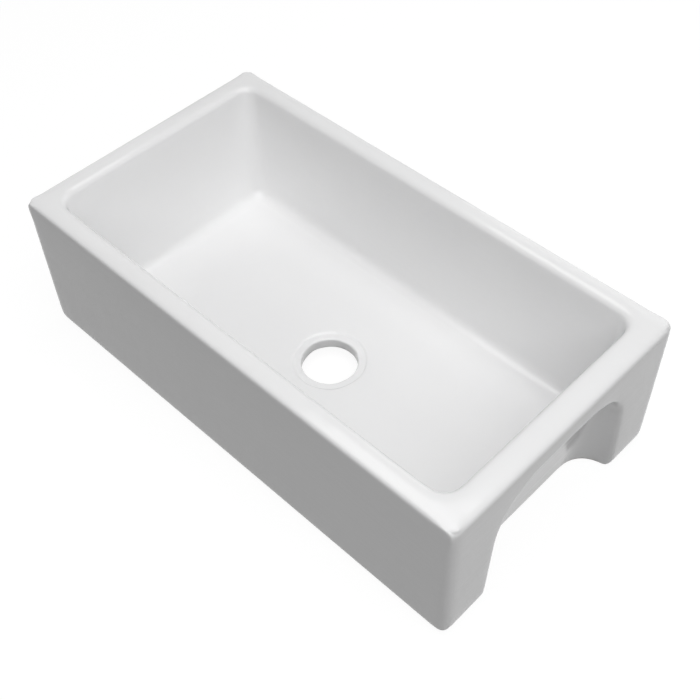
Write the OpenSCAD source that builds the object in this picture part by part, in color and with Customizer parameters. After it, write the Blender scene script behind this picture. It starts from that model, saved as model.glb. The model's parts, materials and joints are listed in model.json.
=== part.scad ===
// Apron-front fireclay kitchen sink with one bowl.
// X runs along the front apron, Y towards the back, Z up. The origin is the
// middle of the footprint at floor level. All sizes are in millimetres.

/* [Outer block] */
// Length along the front apron
sink_l = 838; // [700:1:1000]
// Width from the front apron to the back
sink_w = 450; // [410:1:560]
// Height from the foot to the rim
sink_h = 250; // [235:1:300]
// Radius of the four upright corners
corner_r = 12; // [8:0.5:20]
// Radius of the top edge along the front and the back
long_edge_r = 6; // [3:0.5:10]
// Radius of the softer top edge along both ends
end_edge_r = 12; // [6:0.5:18]
// Radius of the bottom edge along the front and the back
foot_edge_r = 10; // [5:0.5:16]
// Radius of the softer bottom edge along both ends
end_foot_r = 16; // [5:0.5:18]

/* [Bowl] */
// Rim width along the front, with its inner roll
front_rim = 37.5; // [30:0.5:50]
// Rim width along the back, with its inner roll
back_rim = 33; // [28:0.5:50]
// Rim width at the left end, with its inner roll
left_rim = 37.5; // [30:0.5:50]
// Rim width at the right end, with its inner roll
right_rim = 43.5; // [30:0.5:50]
// Radius of the roll from the rim into the bowl
rim_roll_r = 12; // [6:0.5:16]
// Depth from the rim to the floor at the drain
bowl_depth = 212; // [180:1:222]
// How far each end wall leans in between rim and floor
end_lean = 18; // [4:0.5:30]
// How far the front and back walls lean in between rim and floor
side_lean = 10; // [4:0.5:30]
// Plan radius of the bowl's upright corners
bowl_corner_r = 26; // [22:0.5:45]
// Radius between the walls and the floor
floor_fillet_r = 17; // [8:0.5:21]
// Fall of the floor from the walls to the drain
floor_fall = 3; // [1:0.5:8]

/* [Drain] */
// Bore of the drain hole
drain_d = 90; // [80:0.5:92]
// Drain centre along the length, from the middle of the sink
drain_x = 0; // [-60:1:60]
// Drain centre across the width, from the middle of the sink
drain_y = -12; // [-60:1:60]
// Diameter of the seat for the strainer flange
seat_d = 117; // [108:0.5:125]
// Depth of the seat for the strainer flange
seat_depth = 2.5; // [1.5:0.5:4]
// Radius of the edge between the seat and the bore
drain_edge_r = 3; // [2:0.5:5]

/* [End recesses] */
// Clear width between the two legs of an end
recess_w = 280; // [200:1:290]
// Height of the recess at the middle of an end
recess_h = 208; // [150:1:210]
// Radius of the recess's two upper corners
recess_arch_r = 88; // [40:1:98]
// Radius of the cove between a leg and the back of the recess, at the foot
recess_cove_r = 44; // [20:1:45]
// Radius of the cove between the arch and the back of the recess, at the top
recess_top_cove_r = 8; // [4:0.5:16]
// Lean of the recess's back wall, in degrees
recess_lean = 8; // [5:0.1:12]
// Radius of the edge round the recess's mouth
recess_edge_r = 9; // [3:0.5:10]
// Wall left between the recess and the bowl, where it is thinnest
end_wall_t = 15.5; // [10:0.5:20]

/* [Underside] */
// Thickness of the floor slab at the drain
drain_boss_t = 20; // [15:0.5:25]
// Width of the foot along the front and the back
foot_w = 44; // [25:1:60]
// Width of the foot behind each end recess
foot_end_w = 26; // [15:1:50]
// Plan radius of the hollow's corners under the floor
under_corner_r = 40; // [10:1:60]

/* [Glaze] */
// Thickness of the glaze
glaze_t = 1; // [0.5:0.1:1.5]
// Height of the bare foot that the glaze leaves clean
bare_foot_h = 3; // [2:0.5:6]

/* [Hidden] */
$fn = 72;
// Facets of the round pieces inside a hull
hull_fn = 40;
// Facets of the balls that carry a recess's cove round the arch, and how many
// steps they take through each corner of the arch
ball_fn = 24;
cove_steps = 4;
// How far a cut runs past the face it opens
past = 1;

half_l = sink_l / 2;
half_w = sink_w / 2;

mouth_left = -half_l + left_rim;
mouth_right = half_l - right_rim;
mouth_front = -half_w + front_rim;
mouth_back = half_w - back_rim;

floor_z = sink_h - bowl_depth;
seat_z = floor_z - seat_depth;
under_z = floor_z - drain_boss_t;
// Level at which the bowl's walls turn into the floor fillet
wall_foot_z = floor_z + floor_fall + floor_fillet_r;

// The back of a recess stands off the bowl's end wall by the wall's thickness
// at wall_foot_z, and leans away from it above that level.
recess_reach = end_lean - end_wall_t / cos(recess_lean) + wall_foot_z * tan(recess_lean);
left_recess_d = left_rim + recess_reach;
right_recess_d = right_rim + recess_reach;

glaze_colour = [0.93, 0.93, 0.92];
clay_colour = [0.86, 0.80, 0.70];

// A rectangle with rounded corners, between two opposite corners.
module rounded_rect(x0, y0, x1, y1, r) {
    translate([x0 + r, y0]) square([x1 - x0 - 2 * r, y1 - y0]);
    translate([x0, y0 + r]) square([x1 - x0, y1 - y0 - 2 * r]);
    for (x = [x0 + r, x1 - r], y = [y0 + r, y1 - r]) translate([x, y]) circle(r);
}

// A side view of the block, with its own radius at the top and at the bottom.
// Each rectangle runs well past the edge that the other one rounds.
module side_view(half, bottom, top, top_r, bottom_r) {
    intersection() {
        rounded_rect(-half, bottom, half, 2 * top, bottom_r);
        rounded_rect(-half, -top, half, top, top_r);
    }
}

// The void of a rounded opening whose edge rolls outwards with radius r. The
// opening lies in the plane z = 0, its walls start at z = -r.
module rolled_mouth(x0, y0, x1, y1, corner, r) {
    difference() {
        translate([0, 0, -r])
            linear_extrude(r + past)
            rounded_rect(x0 - r, y0 - r, x1 + r, y1 + r, corner + r);
        for (y = [y0 - r, y1 + r])
            translate([x0 + corner, y, -r])
            rotate([0, 90, 0])
            cylinder(r = r, h = x1 - x0 - 2 * corner);
        for (x = [x0 - r, x1 + r])
            translate([x, y0 + corner, -r])
            rotate([-90, 0, 0])
            cylinder(r = r, h = y1 - y0 - 2 * corner);
        for (turn = [0 : 3])
            translate([turn == 0 || turn == 3 ? x1 - corner : x0 + corner,
                       turn < 2 ? y1 - corner : y0 + corner, -r])
            rotate([0, 0, 90 * turn])
            rotate_extrude(angle = 90)
            translate([corner + r, 0])
            circle(r);
    }
}

// The block without its hollows. Every module below takes skin, the depth of
// its surface under the finished face: 0 for the glaze, glaze_t for the clay.
module block(skin) {
    top = sink_h - skin;
    intersection() {
        linear_extrude(sink_h)
            rounded_rect(-half_l + skin, -half_w + skin, half_l - skin, half_w - skin, corner_r - skin);
        translate([-half_l, 0, 0])
            rotate([90, 0, 90])
            linear_extrude(sink_l)
            side_view(half_w - skin, skin, top, long_edge_r - skin, foot_edge_r - skin);
        translate([0, half_w, 0])
            rotate([90, 0, 0])
            linear_extrude(sink_w)
            side_view(half_l - skin, skin, top, end_edge_r - skin, end_foot_r - skin);
    }
}

module bowl_void(skin) {
    roll_r = rim_roll_r - skin;
    translate([0, 0, sink_h - skin])
        rolled_mouth(mouth_left - skin, mouth_front - skin, mouth_right + skin, mouth_back + skin,
                     bowl_corner_r + skin, roll_r);
    hull() {
        for (x = [mouth_left + bowl_corner_r, mouth_right - bowl_corner_r],
             y = [mouth_front + bowl_corner_r, mouth_back - bowl_corner_r])
            translate([x, y, sink_h - rim_roll_r])
            cylinder(r = bowl_corner_r + skin, h = past, $fn = hull_fn);
        for (x = [mouth_left + end_lean + bowl_corner_r, mouth_right - end_lean - bowl_corner_r],
             y = [mouth_front + side_lean + bowl_corner_r, mouth_back - side_lean - bowl_corner_r])
            translate([x, y, wall_foot_z])
            rotate_extrude($fn = hull_fn)
            intersection() {
                translate([bowl_corner_r - floor_fillet_r, 0])
                    circle(floor_fillet_r + skin, $fn = hull_fn);
                translate([0, -floor_fillet_r - past - skin])
                    square([bowl_corner_r + skin + past, floor_fillet_r + past + skin]);
            }
        translate([drain_x, drain_y, floor_z - skin])
            cylinder(d = seat_d, h = past, $fn = hull_fn);
    }
}

module drain_void(skin) {
    bore_r = drain_d / 2 + skin;
    seat_r = seat_d / 2 + skin;
    edge_r = drain_edge_r - skin;
    ledge_z = seat_z - skin;
    translate([drain_x, drain_y, 0])
        rotate_extrude() {
            square([bore_r, sink_h / 2]);
            translate([0, ledge_z]) square([seat_r, sink_h / 2 - ledge_z]);
            translate([0, ledge_z - edge_r])
                difference() {
                    square([bore_r + edge_r, edge_r + seat_depth / 2]);
                    translate([bore_r + edge_r, 0]) circle(edge_r);
                }
        }
}

// The outline of a recess seen from its end, from just under the foot upwards.
module arch_outline(half, top, r) {
    intersection() {
        rounded_rect(-half, -top, half, top, r);
        translate([-half, -past]) square([2 * half, top + past]);
    }
}

// The recess between the two legs of the right end. A cove joins the legs to
// the leaning back wall. It narrows from recess_cove_r at the foot to
// recess_top_cove_r under the arch.
module recess_void(depth, skin) {
    half = recess_w / 2;
    spring_z = recess_h - recess_arch_r;
    hull() {
        translate([half_l - recess_edge_r, 0, 0])
            rotate([90, 0, 90])
            linear_extrude(recess_edge_r + past)
            arch_outline(half + skin, recess_h + skin, recess_arch_r + skin, $fn = hull_fn);
        for (side = [-1, 1])
            translate([half_l - depth + recess_cove_r, side * (half - recess_cove_r), -past])
            cylinder(r = recess_cove_r + skin, h = past, $fn = hull_fn);
        for (side = [-1, 1], turn = [0 : 90 / cove_steps : 90]) {
            z = spring_z + recess_arch_r * sin(turn);
            r = recess_cove_r + (recess_top_cove_r - recess_cove_r) * z / recess_h;
            translate([half_l - depth + z * tan(recess_lean) + r,
                       side * (half - recess_arch_r + (recess_arch_r - r) * cos(turn)),
                       spring_z + (recess_arch_r - r) * sin(turn)])
                sphere(r + skin, $fn = ball_fn);
        }
    }
    translate([half_l - skin, 0, 0])
        rotate([90, 0, 90])
        rolled_mouth(-half - skin, -recess_h - skin, half + skin, recess_h + skin,
                     recess_arch_r + skin, recess_edge_r - skin);
}

module sink_form(skin) {
    difference() {
        block(skin);
        bowl_void(skin);
        drain_void(skin);
        recess_void(right_recess_d, skin);
        mirror([1, 0, 0]) recess_void(left_recess_d, skin);
    }
}

// The lowest few millimetres of the legs and foot, which stay unglazed.
module foot_zone() {
    translate([-half_l - past, -half_w - past, -past])
        cube([sink_l + 2 * past, sink_w + 2 * past, bare_foot_h + past]);
}

// The shallow hollow under the floor, inside the ring of the foot.
module under_hollow() {
    translate([0, 0, -past])
        linear_extrude(under_z + past)
        rounded_rect(-half_l + left_recess_d + foot_end_w, -half_w + foot_w,
                     half_l - right_recess_d - foot_end_w, half_w - foot_w, under_corner_r);
}

module fireclay_body() {
    color(clay_colour)
        difference() {
            union() {
                sink_form(glaze_t);
                intersection() {
                    sink_form(0);
                    foot_zone();
                }
            }
            under_hollow();
        }
}

module glaze_coat() {
    color(glaze_colour)
        difference() {
            sink_form(0);
            sink_form(glaze_t);
            foot_zone();
            under_hollow();
        }
}

fireclay_body();
glaze_coat();
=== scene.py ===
import json
import math

import bmesh
import bpy
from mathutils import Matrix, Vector

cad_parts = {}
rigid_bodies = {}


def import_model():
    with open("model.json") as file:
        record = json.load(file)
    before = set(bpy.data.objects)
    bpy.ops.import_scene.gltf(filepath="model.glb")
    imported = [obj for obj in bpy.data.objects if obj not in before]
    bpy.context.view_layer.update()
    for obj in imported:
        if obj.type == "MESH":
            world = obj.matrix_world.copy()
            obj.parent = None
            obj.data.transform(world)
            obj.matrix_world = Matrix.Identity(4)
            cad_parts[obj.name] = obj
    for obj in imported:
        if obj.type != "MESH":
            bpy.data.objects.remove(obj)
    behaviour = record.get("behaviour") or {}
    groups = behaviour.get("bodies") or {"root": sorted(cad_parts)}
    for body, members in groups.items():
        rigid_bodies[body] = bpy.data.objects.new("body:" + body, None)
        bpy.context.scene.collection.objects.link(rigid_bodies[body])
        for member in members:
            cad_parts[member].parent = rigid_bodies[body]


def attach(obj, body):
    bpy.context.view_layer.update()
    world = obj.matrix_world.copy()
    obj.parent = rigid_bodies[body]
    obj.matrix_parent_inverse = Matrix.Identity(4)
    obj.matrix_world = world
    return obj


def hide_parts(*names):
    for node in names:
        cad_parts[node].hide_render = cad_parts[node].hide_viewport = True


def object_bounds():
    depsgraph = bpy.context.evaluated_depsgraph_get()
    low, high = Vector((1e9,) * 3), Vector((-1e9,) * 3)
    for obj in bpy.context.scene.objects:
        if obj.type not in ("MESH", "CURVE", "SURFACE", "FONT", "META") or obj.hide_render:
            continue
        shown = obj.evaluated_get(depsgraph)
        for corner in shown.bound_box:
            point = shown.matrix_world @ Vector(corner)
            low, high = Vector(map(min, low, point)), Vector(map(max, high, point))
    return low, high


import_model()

for spare in [o for o in bpy.data.objects if o.name in ("Cube", "Light", "Camera")]:
    bpy.data.objects.remove(spare)   # what a new Blender file holds
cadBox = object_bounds()
sinkTop = cadBox[1][2]
near = 1e-5                          # lengths below this count as none
print("frame loaded")

# Metres throughout. The sink's outer size comes from the frame.
sink = {
    "cornerR": 0.012,        # the four upright corners
    "longTopR": 0.006,       # top edge, front and back
    "endTopR": 0.012,        # softer top edge at both ends
    "crown": 0.0022,         # how far front and back curve in at the top edge
    "crownH": 0.060,         # height of that curve
    "bareFoot": 0.003,       # height of the foot that is left unglazed
    "glaze": 0.001,          # thickness of the glaze
    "roundSteps": 3,         # steps of the cage round each rounded edge
    "smoothing": 2,          # levels of subdivision
    "sharpAngle": 40,        # edges that turn by more degrees stay crisp
}


# Shapes

def blend(a, b, share):
    return a + (b - a) * share


# A box whose faces are cut into a grid at the given places along each axis.
def gridBlock(low, high, cuts):
    bm = bmesh.new()
    bmesh.ops.create_cube(bm, size=1)
    bmesh.ops.scale(bm, vec=high - low, verts=bm.verts)
    bmesh.ops.translate(bm, vec=(low + high) / 2, verts=bm.verts)
    for axis, places in enumerate(cuts):
        normal = Vector((0, 0, 0))
        normal[axis] = 1
        for spot in places:
            cutLevel(bm, normal * spot, normal)
    bm.verts.layers.float_vector.new("core")
    bm.verts.layers.float_vector.new("away")
    bm.faces.layers.int.new("overDrain")
    return bm


# Cuts all faces along a plane, and can drop what lies behind it.
def cutLevel(bm, spot, normal, dropBehind=False):
    everything = bm.verts[:] + bm.edges[:] + bm.faces[:]
    bmesh.ops.bisect_plane(bm, geom=everything, plane_co=spot, plane_no=normal,
                           clear_inner=dropBehind)


# How far a point of a sharp edge moves when the edge gets a radius. The
# depths say how far the point lies inside the two faces that meet there.
def edgePull(depthA, depthB, radius):
    if depthA >= radius or depthB >= radius:
        return 0, 0
    if depthB < depthA:
        angle = math.radians(45 * (1 - depthA / radius))
    else:
        angle = math.radians(45 * (1 + depthB / radius))
    pullA = radius * (1 - math.sin(angle)) - depthA
    pullB = radius * (1 - math.cos(angle)) - depthB
    return pullA, pullB


def roundOuterEdges(bm, half):
    for v in bm.verts:
        inX, inY, inZ = half.x - abs(v.co.x), half.y - abs(v.co.y), sinkTop - v.co.z
        sideX, sideY = math.copysign(1, v.co.x), math.copysign(1, v.co.y)
        cornerX, cornerY = edgePull(inX, inY, sink["cornerR"])
        endX, endZ = edgePull(inX, inZ, sink["endTopR"])
        longY, longZ = edgePull(inY, inZ, sink["longTopR"])
        crown = 0
        if inY < sink["longTopR"]:
            crown = sink["crown"] * (1 - min(inZ / sink["crownH"], 1)) ** 2
        v.co.x -= sideX * (cornerX + endX)
        v.co.y -= sideY * (cornerY + longY + crown)
        v.co.z -= endZ + longZ


def faceVerts(faces):
    return list({v for face in faces for v in face.verts})


# Notes on each vertex of a rectangular block of faces where it lies, so
# that place() can put it in a rounded rectangle of any size and radius.
def rememberBlock(bm, faces, axes, low, high, radius):
    core = bm.verts.layers.float_vector["core"]
    away = bm.verts.layers.float_vector["away"]
    for v in faceVerts(faces):
        share, step = [0.5, 0.5], [0, 0]
        for i, axis in enumerate(axes):
            inner = min(max(v.co[axis], low[i] + radius[i]), high[i] - radius[i])
            span = high[i] - low[i] - 2 * radius[i]
            if span > near:
                share[i] = (inner - low[i] - radius[i]) / span
            step[i] = (v.co[axis] - inner) / radius[i]
        reach, less = max(abs(step[0]), abs(step[1])), min(abs(step[0]), abs(step[1]))
        if reach > 0:
            turn = math.pi / 4 * less / reach
            major, minor = reach * math.cos(turn), reach * math.sin(turn)
            if abs(step[0]) < abs(step[1]):
                major, minor = minor, major
            step = [math.copysign(major, step[0]), math.copysign(minor, step[1])]
        v[core] = (share[0], share[1], 0)
        v[away] = (step[0], step[1], 0)


# Moves a remembered block into a rounded rectangle in a level plane.
def place(bm, faces, low, high, radius, level):
    core = bm.verts.layers.float_vector["core"]
    away = bm.verts.layers.float_vector["away"]
    for v in faceVerts(faces):
        for i in (0, 1):
            inner = blend(low[i] + radius, high[i] - radius, v[core][i])
            v.co[i] = inner + radius * v[away][i]
        v.co.z = level


# Extrudes a block of faces and gives back the block at its new end.
def push(bm, faces):
    geom = bmesh.ops.extrude_face_region(bm, geom=faces)["geom"]
    bmesh.ops.delete(bm, geom=faces, context="FACES")
    return [g for g in geom if isinstance(g, bmesh.types.BMFace)]


# Sine and cosine at even steps through a quarter turn, without its start.
def quarter(steps):
    angles = [math.pi / 2 * (i + 1) / steps for i in range(steps)]
    return [(math.sin(a), math.cos(a)) for a in angles]


def within(face, axes, low, high):
    centre = face.calc_center_median()
    return all(low[i] < centre[axis] < high[i] for i, axis in enumerate(axes))


bowl = {
    "rims": {"left": 0.0375, "right": 0.0435, "front": 0.0375, "back": 0.033},
    "rollR": 0.012,          # inner edge of the rim
    "cornerR": 0.026,
    "depth": 0.212,          # at the drain
    "endLean": 0.018,        # how far the end walls come in at the floor
    "sideLean": 0.010,       # the same for front and back
    "wallSteps": (0.35, 0.7, 1),
    "filletR": 0.017,        # between walls and floor
    "fall": 0.003,           # of the floor, to the drain
}


# Pushes the block of faces inside the rim down into the bowl, then the
# ones over the drain into the bore, which stays open.
def sinkBowl(bm, faces, low, high):
    roll, corner = bowl["rollR"], bowl["cornerR"]
    outer = corner + roll
    rememberBlock(bm, faces, (0, 1), low, high, (outer, outer))
    place(bm, faces, low, high, outer, sinkTop)
    for sine, cosine in quarter(sink["roundSteps"]):
        faces = push(bm, faces)
        inset = Vector((roll * sine, roll * sine))
        level = sinkTop - roll * (1 - cosine)
        place(bm, faces, low + inset, high - inset, outer - roll * sine, level)
    mouthLow = low + Vector((roll, roll))
    mouthHigh = high - Vector((roll, roll))
    floorZ = sinkTop - bowl["depth"]
    footZ = floorZ + bowl["fall"] + bowl["filletR"]
    lean = Vector((bowl["endLean"], bowl["sideLean"]))
    for share in bowl["wallSteps"]:
        faces = push(bm, faces)
        level = blend(sinkTop - roll, footZ, share)
        place(bm, faces, mouthLow + lean * share, mouthHigh - lean * share, corner, level)
    fillet = bowl["filletR"]
    for sine, cosine in quarter(sink["roundSteps"]):
        faces = push(bm, faces)
        inset = lean + Vector((1, 1)) * fillet * (1 - cosine)
        place(bm, faces, mouthLow + inset, mouthHigh - inset, corner - fillet * (1 - cosine),
              footZ - fillet * sine)
    floorLow = mouthLow + lean + Vector((fillet, fillet))
    floorHigh = mouthHigh - lean - Vector((fillet, fillet))
    centre = Vector(drain["centre"])
    seat = drain["seatR"]
    for v in faceVerts(faces):
        share = 0
        for i in (0, 1):
            end = floorHigh[i] if v.co[i] > centre[i] else floorLow[i]
            out = abs(v.co[i] - centre[i]) - seat
            share = max(share, out / (abs(end - centre[i]) - seat))
        v.co.z = floorZ + bowl["fall"] * min(share, 1)
    overDrain = bm.faces.layers.int["overDrain"]
    cutDrain(bm, [f for f in faces if f[overDrain]], centre, floorZ)


drain = {
    "centre": (0.0, -0.012),
    "seatR": 0.0585,         # shallow seat for a strainer's flange
    "seatDepth": 0.0025,
    "boreR": 0.045,
    "edgeR": 0.003,          # edge between seat and bore
    "edgeHold": 0.003,       # the ring that keeps this edge tight
    "slab": 0.020,           # thickness of the floor round the bore
    "boreSteps": (0.2, 0.6, 1),
}


def cutDrain(bm, faces, centre, floorZ):
    verts = faceVerts(faces)
    low = Vector((min(v.co.x for v in verts), min(v.co.y for v in verts)))
    high = Vector((max(v.co.x for v in verts), max(v.co.y for v in verts)))
    rememberBlock(bm, faces, (0, 1), low, high, (high - low) / 2)
    seatR, seatZ = drain["seatR"], floorZ - drain["seatDepth"]
    soft = drain["seatDepth"] / 2
    wide, narrow, dip = 2 * soft, 0.6 * soft, 0.3 * soft   # the seat's soft step
    rings = [(seatR + wide, floorZ), (seatR + narrow, floorZ - dip)]
    rings += [(seatR - narrow, seatZ + dip), (seatR - wide, seatZ)]
    boreR, edge = drain["boreR"], drain["edgeR"]
    rings += [(boreR + edge + drain["edgeHold"], seatZ), (boreR + edge, seatZ)]
    steps = quarter(sink["roundSteps"])
    rings += [(boreR + edge * (1 - s), seatZ - edge * (1 - c)) for s, c in steps]
    underZ = floorZ - drain["slab"]
    rings += [(boreR, blend(seatZ - edge, underZ, share)) for share in drain["boreSteps"]]
    for i, (radius, level) in enumerate(rings):
        if i:
            faces = push(bm, faces)
        square = Vector((radius, radius))
        place(bm, faces, centre - square, centre + square, radius, level)
    bmesh.ops.delete(bm, geom=faces, context="FACES")


recess = {
    "halfW": 0.140,          # at the foot
    "draft": 3.8,            # degrees that the legs' inner sides lean in upwards
    "top": 0.208,
    "archR": 0.082,
    "edgeR": 0.009,          # rolled edge of the mouth
    "lean": 8,               # degrees that the back wall leans
    "coveFoot": 0.044,       # radius between sides and back wall, at the foot
    "coveTop": 0.008,
    "coveSteps": 4,
    "wall": 0.0155,          # thinnest wall between recess and bowl
}


# How far past the rim a recess goes in, at its foot.
def recessReach():
    angle = math.radians(recess["lean"])
    wallFootZ = sinkTop - bowl["depth"] + bowl["fall"] + bowl["filletR"]
    return bowl["endLean"] - recess["wall"] / math.cos(angle) + wallFootZ * math.tan(angle)


# Pushes the arch-shaped block of an end inwards: a rolled edge, then a
# cove that is wide at the foot and narrow at the top, then the back wall.
def cutRecess(bm, side, half, rim):
    edge, arch = recess["edgeR"], recess["archR"]
    high = Vector((recess["halfW"] + edge, recess["top"] + edge))
    endX = half.x - near
    faces = [f for f in bm.faces if side * f.calc_center_median().x > endX]
    faces = [f for f in faces if within(f, (1, 2), -high, high)]
    rememberBlock(bm, faces, (1, 2), -high, high, (arch + edge, arch + edge))
    core = bm.verts.layers.float_vector["core"]
    away = bm.verts.layers.float_vector["away"]
    draft = math.radians(recess["draft"])
    archZ = recess["top"] - arch
    slope = math.tan(math.radians(recess["lean"]))
    depthAtFoot = rim + recessReach()

    def shape(faces, radius, depthShare, depth, coveShare):
        for v in faceVerts(faces):
            cove = blend(recess["coveFoot"], recess["coveTop"], min(v.co.z / recess["top"], 1))
            r = radius - cove * coveShare
            v.co.z = max(blend(-archZ, archZ, v[core][1]) + r * v[away][1], foot["longR"])
            drawn = (arch + min(v.co.z, archZ) * math.sin(draft)) / math.cos(draft)
            coreY = recess["halfW"] - drawn
            v.co.y = blend(-coreY, coreY, v[core][0]) + r * v[away][0]
            full = depthAtFoot - slope * v.co.z
            v.co.x = side * (half.x - blend(depth, full, depthShare))

    shape(faces, arch + edge, 0, 0, 0)
    for sine, cosine in quarter(sink["roundSteps"]):
        faces = push(bm, faces)
        shape(faces, arch + edge * (1 - sine), 0, edge * (1 - cosine), 0)
    for sine, cosine in quarter(recess["coveSteps"]):
        faces = push(bm, faces)
        shape(faces, arch, sine, edge, 1 - cosine)
    strips = [f for f in bm.faces if atFoot(f)]
    bmesh.ops.delete(bm, geom=strips, context="FACES")


foot = {
    "longR": 0.010,          # bottom edge along the front and the back
    "endR": 0.016,           # softer bottom edge at both ends
    "recessR": 0.004,        # bottom edge inside the recesses
    "longW": 0.044,          # width of the foot along the front and the back
    "endW": 0.026,           # its width behind the recesses
    "cornerR": 0.040,        # corners of the hollow inside the foot
    "cornerSteps": 8,
}


# Whether a face or an edge of the cage lies along its lowest line.
def atFoot(item):
    return all(v.co.z < foot["longR"] + near for v in item.verts)


def footRadius(spot, away):
    if abs(spot.y) < recess["halfW"] + recess["edgeR"]:
        inwards = (cadBox[1][0] - abs(spot.x)) / recess["edgeR"]
        return blend(foot["endR"], foot["recessR"], min(inwards, 1))
    return blend(foot["longR"], foot["endR"], away.x ** 2)


# Rolls the bottom edge of walls and legs inwards, down to the ground.
def rollFoot(bm):
    edges = [e for e in bm.edges if e.is_boundary and atFoot(e)]
    bm.normal_update()
    inward = bm.verts.layers.float_vector.new("inward")
    start = bm.verts.layers.float_vector.new("start")
    for v in {v for e in edges for v in e.verts}:
        away = Vector((v.normal.x, v.normal.y, 0)).normalized()
        v.co.z = footRadius(v.co, away)
        v[inward] = -away
        v[start] = v.co
    for sine, cosine in quarter(sink["roundSteps"]):
        geom = bmesh.ops.extrude_edge_only(bm, edges=edges)["geom"]
        edges = [g for g in geom if isinstance(g, bmesh.types.BMEdge)]
        for v in {v for e in edges for v in e.verts}:
            radius = v[start].z
            v.co = v[start] + v[inward] * radius * (1 - cosine)
            v.co.z = radius * (1 - sine)


# Adds the flat foot, the shallow hollow inside it and the slab's underside.
def closeUnderside(bm, low, high):
    shell, shellEdges = set(bm.faces), set(bm.edges)
    openEdges = [e for e in bm.edges if e.is_boundary]
    rim = [e for e in openEdges if max(v.co.z for v in e.verts) < sink["bareFoot"]]
    bore = [e for e in openEdges if e not in set(rim)]
    underZ = bore[0].verts[0].co.z
    square = bmesh.ops.create_grid(bm, x_segments=1, y_segments=1, size=0.5)["verts"]
    bmesh.ops.scale(bm, vec=(high.x - low.x, high.y - low.y, 1), verts=square)
    bmesh.ops.translate(bm, vec=((low.x + high.x) / 2, (low.y + high.y) / 2, 0), verts=square)
    bmesh.ops.bevel(bm, geom=square, offset=foot["cornerR"], offset_type="OFFSET",
                    segments=foot["cornerSteps"], profile=0.5, affect="VERTICES", material=-1)
    ring = [e for e in bm.edges if e not in shellEdges]
    plate = [f for f in bm.faces if f not in shell]
    bmesh.ops.delete(bm, geom=plate, context="FACES_ONLY")
    bmesh.ops.triangle_fill(bm, edges=rim + ring, use_beauty=True)
    geom = bmesh.ops.extrude_edge_only(bm, edges=ring)["geom"]
    ceiling = [g for g in geom if isinstance(g, bmesh.types.BMEdge)]
    ceilingVerts = list({v for e in ceiling for v in e.verts})
    bmesh.ops.translate(bm, vec=(0, 0, underZ), verts=ceilingVerts)
    bmesh.ops.triangle_fill(bm, edges=ceiling + bore, use_beauty=True)
    for f in bm.faces:
        f.material_index = 0 if f in shell else 1   # 0 is glazed, 1 is bare
    bmesh.ops.recalc_face_normals(bm, faces=bm.faces)


# The mesh of a cage after subdivision, as a new bmesh.
def smoothed(bm, levels):
    mesh = bpy.data.meshes.new("cage")
    bm.to_mesh(mesh)
    bm.free()
    block = bpy.data.objects.new("cage", mesh)
    bpy.context.scene.collection.objects.link(block)
    subdivision = block.modifiers.new("smooth", "SUBSURF")
    subdivision.levels = subdivision.render_levels = levels
    evaluated = block.evaluated_get(bpy.context.evaluated_depsgraph_get())
    result = bmesh.new()
    result.from_mesh(evaluated.to_mesh())
    evaluated.to_mesh_clear()
    bpy.data.objects.remove(block)
    return result


# Where the cage is cut, apart from the places that follow from the sizes.
cage = {
    "middleX": [-0.240, -0.120, 0.0, 0.120, 0.240],
    "drainX": 0.062,         # half the width of the faces over the drain
    "middleY": [-0.012, 0.017],
    "middleZ": 0.060,
    "cornerSteps": (0, 1 / 2, 1),
    "archSteps": (0, 1 / 3, 2 / 3, 1),
}


def cornerCuts(low, high, reach):
    cuts = [low + reach * s for s in cage["cornerSteps"]]
    return cuts + [high - reach * s for s in cage["cornerSteps"]]


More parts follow.
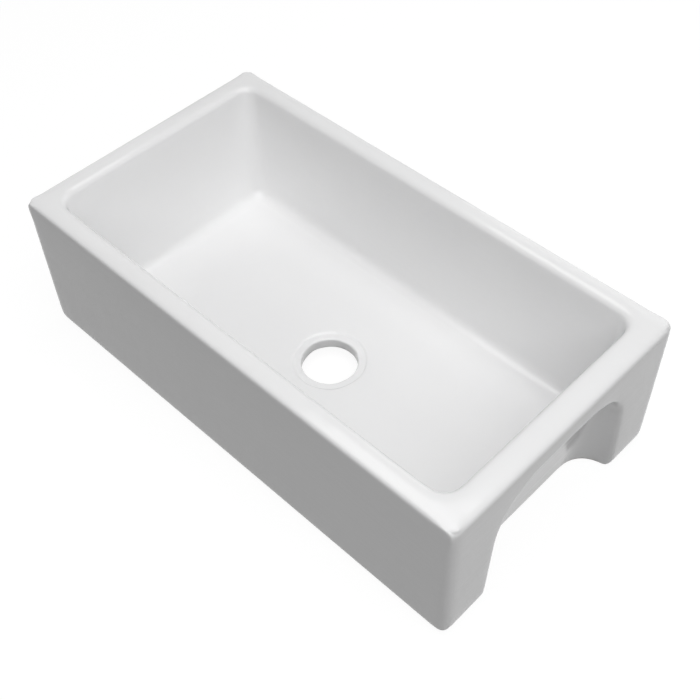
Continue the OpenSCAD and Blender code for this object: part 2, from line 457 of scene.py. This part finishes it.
def buildSink():
    low, high = cadBox
    half = Vector((high[0], high[1]))
    rims, roll = bowl["rims"], bowl["rollR"]
    mouthLow = Vector((low[0] + rims["left"] - roll, low[1] + rims["front"] - roll))
    mouthHigh = Vector((high[0] - rims["right"] + roll, high[1] - rims["back"] + roll))
    outer = bowl["cornerR"] + roll
    edge, arch = recess["edgeR"], recess["archR"]
    corner, drainX = sink["cornerR"], cage["drainX"]
    archY = [recess["halfW"] + edge - (arch + edge) * s for s in cage["archSteps"]]

    xCuts = cage["middleX"] + [-drainX, -drainX / 2, drainX / 2, drainX]
    xCuts += [-half.x + corner, half.x - corner]
    xCuts += cornerCuts(mouthLow.x, mouthHigh.x, outer)
    yCuts = archY + [-y for y in archY] + [-half.y + corner, half.y - corner]
    yCuts += cage["middleY"] + cornerCuts(mouthLow.y, mouthHigh.y, outer)
    zCuts = [sinkTop - sink["longTopR"], sinkTop - sink["endTopR"], cage["middleZ"]]
    zCuts += [recess["top"] + edge - (arch + edge) * s for s in cage["archSteps"]]
    bm = gridBlock(Vector((low[0], low[1], foot["longR"])), Vector(high), (xCuts, yCuts, zCuts))
    under = [f for f in bm.faces if f.normal.z < -0.5]
    bmesh.ops.delete(bm, geom=under, context="FACES")

    upper = [f for f in bm.faces if f.normal.z > 0.5]
    mouthFaces = [f for f in upper if within(f, (0, 1), mouthLow, mouthHigh)]
    overDrain = bm.faces.layers.int["overDrain"]
    drainLow, drainHigh = Vector((-drainX, -archY[-2])), Vector((drainX, archY[-1]))
    for f in mouthFaces:
        f[overDrain] = int(within(f, (0, 1), drainLow, drainHigh))
    roundOuterEdges(bm, half)
    sinkBowl(bm, mouthFaces, mouthLow, mouthHigh)
    cutRecess(bm, 1, half, rims["right"])
    cutRecess(bm, -1, half, rims["left"])
    rollFoot(bm)
    print("cage", len(bm.faces), "faces")

    bm = smoothed(bm, sink["smoothing"])
    reach = recessReach() + foot["endW"]
    hollowLow = Vector((low[0] + rims["left"] + reach, low[1] + foot["longW"]))
    hollowHigh = Vector((high[0] - rims["right"] - reach, high[1] - foot["longW"]))
    closeUnderside(bm, hollowLow, hollowHigh)
    return bm


def addPiece(name, bm, material, node):
    mesh = bpy.data.meshes.new(name)
    for f in bm.faces:
        f.smooth = True
        f.material_index = 0
    bm.to_mesh(mesh)
    bm.free()
    mesh.set_sharp_from_angle(angle=math.radians(sink["sharpAngle"]))
    mesh.materials.append(material)
    piece = bpy.data.objects.new(name, mesh)
    bpy.context.scene.collection.objects.link(piece)
    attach(piece, "root")
    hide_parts(node)
    return piece


def buildGlaze(form, material):
    bm = form.copy()
    bare = [f for f in bm.faces if f.material_index == 1]
    bmesh.ops.delete(bm, geom=bare, context="FACES")
    cutLevel(bm, (0, 0, sink["bareFoot"]), (0, 0, 1), dropBehind=True)
    piece = addPiece("glaze", bm, material, "glaze_coat")
    skin = piece.modifiers.new("thickness", "SOLIDIFY")
    skin.thickness = sink["glaze"]
    skin.offset = -1                 # grows inwards from the finished face


clayFit = {
    "lip": 0.0004,           # height over which the clay draws in under the glaze
    "inset": 1.02,           # of the glaze's thickness, so that the two never touch
}


def buildClay(form, material):
    bm = form.copy()
    bareZ, lip = sink["bareFoot"], clayFit["lip"]
    for level in (bareZ, bareZ + lip):
        cutLevel(bm, (0, 0, level), (0, 0, 1))
    bm.normal_update()
    glazed = [v for v in bm.verts if v.co.z > bareZ + lip / 2]
    glazed = [v for v in glazed if all(f.material_index == 0 for f in v.link_faces)]
    for v, away in [(v, v.normal.copy()) for v in glazed]:
        v.co -= away * sink["glaze"] * clayFit["inset"]
    addPiece("clayBody", bm, material, "fireclay_body")


# Materials

# A shader socket that can be used in sums.
class Field:

    def __init__(self, build, socket):
        self.build, self.socket = build, socket

    def math(self, operation, *values):
        return self.build.node("ShaderNodeMath", {"operation": operation}, dict(enumerate(values)))

    def __add__(self, other):
        return self.math("ADD", self, other)

    def __radd__(self, other):
        return self.math("ADD", other, self)

    def __sub__(self, other):
        return self.math("SUBTRACT", self, other)

    def __rsub__(self, other):
        return self.math("SUBTRACT", other, self)

    def __mul__(self, other):
        return self.math("MULTIPLY", self, other)

    def __rmul__(self, other):
        return self.math("MULTIPLY", other, self)

    def clamped(self):
        return self.build.node("ShaderNodeClamp", {}, {"Value": self})


# Adds nodes to one material or world.
class Build:

    def __init__(self, tree):
        self.tree = tree
        tree.nodes.clear()

    def node(self, kind, settings, inputs, output=0):
        made = self.tree.nodes.new(kind)
        for key, value in settings.items():
            setattr(made, key, value)
        for key, value in inputs.items():
            if isinstance(value, Field):
                self.tree.links.new(value.socket, made.inputs[key])
            else:
                made.inputs[key].default_value = value
        return Field(self, made.outputs[output]) if made.outputs else None

    def noise(self, coordinates, scale, detail=2, roughness=0.5):
        inputs = {"Vector": coordinates, "Scale": scale, "Detail": detail, "Roughness": roughness}
        return self.node("ShaderNodeTexNoise", {}, inputs)

    def mixColour(self, factor, first, second):
        inputs = {0: factor, 6: first, 7: second}
        return self.node("ShaderNodeMix", {"data_type": "RGBA"}, inputs, 2)

    def mixShader(self, factor, first, second):
        return self.node("ShaderNodeMixShader", {}, {0: factor, 1: first, 2: second})


def newMaterial(name):
    material = bpy.data.materials.new(name)
    material.use_nodes = True
    return material, Build(material.node_tree)


def grey(tone):
    return (tone, tone, tone, 1)


# Scales are in waves for each metre, heights in metres.
glazeLook = {
    "colour": (0.92, 0.92, 0.92, 1),
    "shade": (0.895, 0.895, 0.90, 1),
    "cloudScale": 6,
    "roughness": 0.14,
    "roughnessSpread": 0.04,
    "ior": 1.5,
    "rippleScale": 22,
    "rippleHeight": 0.0006,
    "runScale": (3, 3, 70),  # level streaks, long in x and y and close in z
    "runHeight": 0.00035,
    "peelScale": 160,        # orange peel
    "peelHeight": 0.00003,
}


def glazeMaterial():
    look = glazeLook
    material, build = newMaterial("whiteGlaze")
    spot = build.node("ShaderNodeTexCoord", {}, {}, "Object")
    cloud = build.noise(spot, look["cloudScale"], 3)
    colour = build.mixColour(cloud, look["shade"], look["colour"])
    ripple = build.noise(spot, look["rippleScale"])
    peel = build.noise(spot, look["peelScale"])
    inputs = {0: spot, 1: look["runScale"]}
    stretched = build.node("ShaderNodeVectorMath", {"operation": "MULTIPLY"}, inputs)
    runs = build.noise(stretched, 1, 3)
    height = ripple * look["rippleHeight"] + runs * look["runHeight"] + peel * look["peelHeight"]
    inputs = {"Strength": 1.0, "Distance": 1.0, "Height": height}
    bump = build.node("ShaderNodeBump", {}, inputs, "Normal")
    roughness = look["roughness"] + (cloud - 0.5) * look["roughnessSpread"]
    surface = build.node("ShaderNodeBsdfPrincipled", {}, {
        "Base Color": colour, "Roughness": roughness, "IOR": look["ior"], "Normal": bump,
    })
    build.node("ShaderNodeOutputMaterial", {}, {"Surface": surface})
    return material


clayLook = {
    "colour": (0.62, 0.54, 0.43, 1),
    "shade": (0.50, 0.42, 0.32, 1),
    "cloudScale": 9,
    "roughness": 0.85,
    "grainScale": 900,
    "grainHeight": 0.0004,
    "grainStrength": 0.6,
}


def clayMaterial():
    look = clayLook
    material, build = newMaterial("bareFireclay")
    spot = build.node("ShaderNodeTexCoord", {}, {}, "Object")
    cloud = build.noise(spot, look["cloudScale"], 4, 0.6)
    grain = build.noise(spot, look["grainScale"], 3, 0.7)
    colour = build.mixColour(cloud, look["shade"], look["colour"])
    inputs = {"Strength": look["grainStrength"], "Distance": look["grainHeight"], "Height": grain}
    bump = build.node("ShaderNodeBump", {}, inputs, "Normal")
    surface = build.node("ShaderNodeBsdfPrincipled", {}, {
        "Base Color": colour, "Roughness": look["roughness"], "Normal": bump,
    })
    build.node("ShaderNodeOutputMaterial", {}, {"Surface": surface})
    return material


# Stage

stage = {
    "floorSize": 12,
    "floorZ": -0.0005,       # just clear of the foot
    "floorBounce": 0.12,     # what the floor throws back on the sink
    "floorTone": 0.90,       # the floor that the camera sees
    "floorGlow": 1.08,
    "floorMix": 0.85,        # share of glow; the rest shows the shadow
    "skyTone": 0.10,         # what the sky gives the sink
    "aim": (0, 0, 0.1),
    "lamps": {               # place, power and size
        "above": ((0, 0, 2.0), 15.6, 1.5),
        "aboveRight": ((1.5, 0, 2.0), 12.8, 1.5),
        "frontRight": ((1.5, -1.5, 2.0), 15.5, 1.5),
        "back": ((0, 2.2, 1.0), 9.0, 2.0),
        "left": ((-2.2, 0, 1.0), 5.0, 2.0),
    },
}


# 1 for what the camera sees, also in the gloss; 0 for what lights the sink.
def seenDirectly(build):
    rays = [build.node("ShaderNodeLightPath", {}, {}, name)
            for name in ("Is Camera Ray", "Is Glossy Ray", "Is Transmission Ray")]
    return (rays[0] + rays[1] + rays[2]).clamped()


def buildFloor():
    spot = (0, 0, stage["floorZ"])
    bpy.ops.mesh.primitive_plane_add(size=stage["floorSize"], location=spot)
    floor = bpy.context.object
    floor.name = "floor"
    material, build = newMaterial("paleFloor")
    dull = build.node("ShaderNodeBsdfDiffuse", {}, {"Color": grey(stage["floorBounce"])})
    pale = build.node("ShaderNodeBsdfDiffuse", {}, {"Color": grey(stage["floorTone"])})
    inputs = {"Color": grey(1), "Strength": stage["floorGlow"]}
    glow = build.node("ShaderNodeEmission", {}, inputs)
    seen = build.mixShader(stage["floorMix"], pale, glow)
    surface = build.mixShader(seenDirectly(build), dull, seen)
    build.node("ShaderNodeOutputMaterial", {}, {"Surface": surface})
    floor.data.materials.append(material)


def buildWorld():
    world = bpy.data.worlds.new("softSky")
    bpy.context.scene.world = world
    world.use_nodes = True
    build = Build(world.node_tree)
    dim, white = [build.node("ShaderNodeBackground", {}, {"Color": grey(1), "Strength": strength})
                  for strength in (stage["skyTone"], 1.0)]
    surface = build.mixShader(seenDirectly(build), dim, white)
    build.node("ShaderNodeOutputWorld", {}, {"Surface": surface})


def buildLamps():
    for name, (spot, power, size) in stage["lamps"].items():
        data = bpy.data.lights.new(name, "AREA")
        data.shape = "SQUARE"
        data.size = size
        data.energy = power
        lamp = bpy.data.objects.new(name, data)
        lamp.location = spot
        aim = Vector(stage["aim"]) - lamp.location
        lamp.rotation_euler = aim.to_track_quat("-Z", "Y").to_euler()
        bpy.context.scene.collection.objects.link(lamp)


camera = {
    "place": (0.79751, -0.75191, 1.33643),
    "turn": (40.4053, 1.1919, 44.0705),   # degrees
    "lens": 56.53,
    "sensor": 36,
    "reach": 50,
}


def buildCamera():
    data = bpy.data.cameras.new("view")
    data.lens = camera["lens"]
    data.sensor_width = camera["sensor"]
    data.clip_end = camera["reach"]
    view = bpy.data.objects.new("view", data)
    view.location = camera["place"]
    view.rotation_euler = [math.radians(a) for a in camera["turn"]]
    bpy.context.scene.collection.objects.link(view)
    bpy.context.scene.camera = view


form = buildSink()
print("sink form", len(form.faces), "faces")
buildGlaze(form, glazeMaterial())
buildClay(form, clayMaterial())
form.free()
print("glaze and clay made")
buildFloor()
buildWorld()
buildLamps()
buildCamera()
print("stage, lamps and camera placed")

bpy.context.scene.view_settings.view_transform = "Standard"
